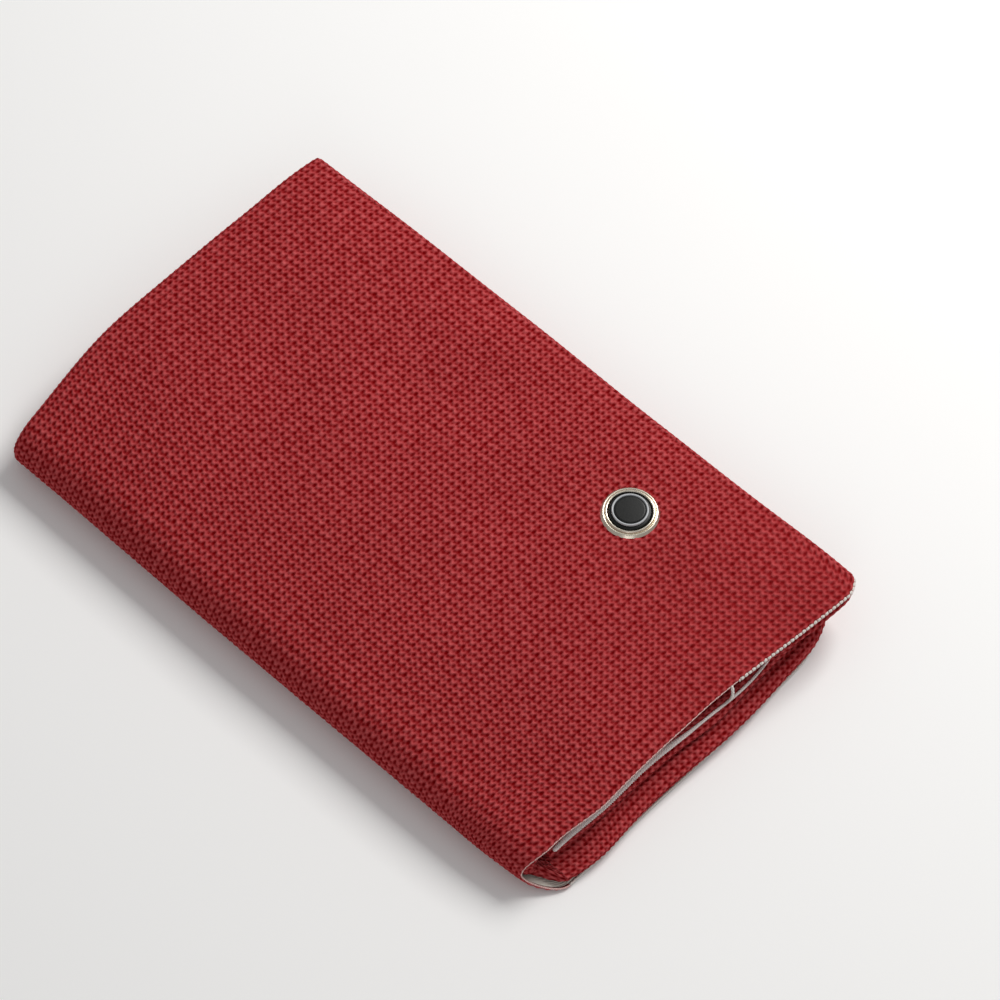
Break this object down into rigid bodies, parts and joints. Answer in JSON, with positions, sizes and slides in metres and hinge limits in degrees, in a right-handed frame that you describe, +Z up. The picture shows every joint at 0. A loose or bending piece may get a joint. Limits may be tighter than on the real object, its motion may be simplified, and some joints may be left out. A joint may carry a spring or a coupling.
{
  "type": "fire blanket",
  "caption": "Folded two-ply fire blanket, red woven face and white lining, with overlocked edges, a hinged top section and a plugged metal eyelet.",
  "frame": {"origin": "middle of the pack's bounding box in plan, on the surface that it lies on", "axes": "+X along the pack's long side towards the end where the layers show, +Y away from the spine, +Z up through the pack"},
  "size_m": [0.3, 0.2, 0.0316],
  "materials": {
    "face_cloth": "heavy open plain weave, matt, red",
    "lining": "fine ribbed weave, matt, off-white",
    "thread": "overlock and tacking thread, matt, white",
    "hem": "turned hem of the face cloth, matt, red",
    "nickel": "warm nickel plate, semi-gloss",
    "plug_black": "moulded, satin black",
    "plug_pale": "moulded, satin light grey"
  },
  "bodies": {
    "lower_sections": {"lower_face_cloth": "face_cloth", "lower_lining": "lining", "lower_edge_thread": "thread", "lower_inner_thread": "thread", "lower_side_hem": "hem", "spine_face_cloth": "face_cloth", "spine_lining": "lining", "spine_edge_thread": "thread", "spine_inner_thread": "thread"},
    "top_section": {"top_face_cloth": "face_cloth", "top_lining": "lining", "top_edge_thread": "thread", "top_inner_thread": "thread", "top_side_hem": "hem", "tack_thread": "thread", "eyelet_ring": "nickel", "eyelet_washer": "nickel"},
    "plug": {"plug_collar": "plug_black", "plug_cap": "plug_black", "plug_ring": "plug_pale"}
  },
  "joints": [
    {"name": "top_section_open", "type": "hinge", "parent": "lower_sections", "child": "top_section", "pos_m": [0, -0.1, 0.0143], "axis": [1, 0, 0], "range_deg": [0, 180], "deforming": ["spine_face_cloth", "spine_lining", "spine_edge_thread", "spine_inner_thread"]},
    {"name": "plug_pull", "type": "slide", "parent": "top_section", "child": "plug", "axis": [0, 0, 1], "range_m": [0, 0.012]}
  ]
}
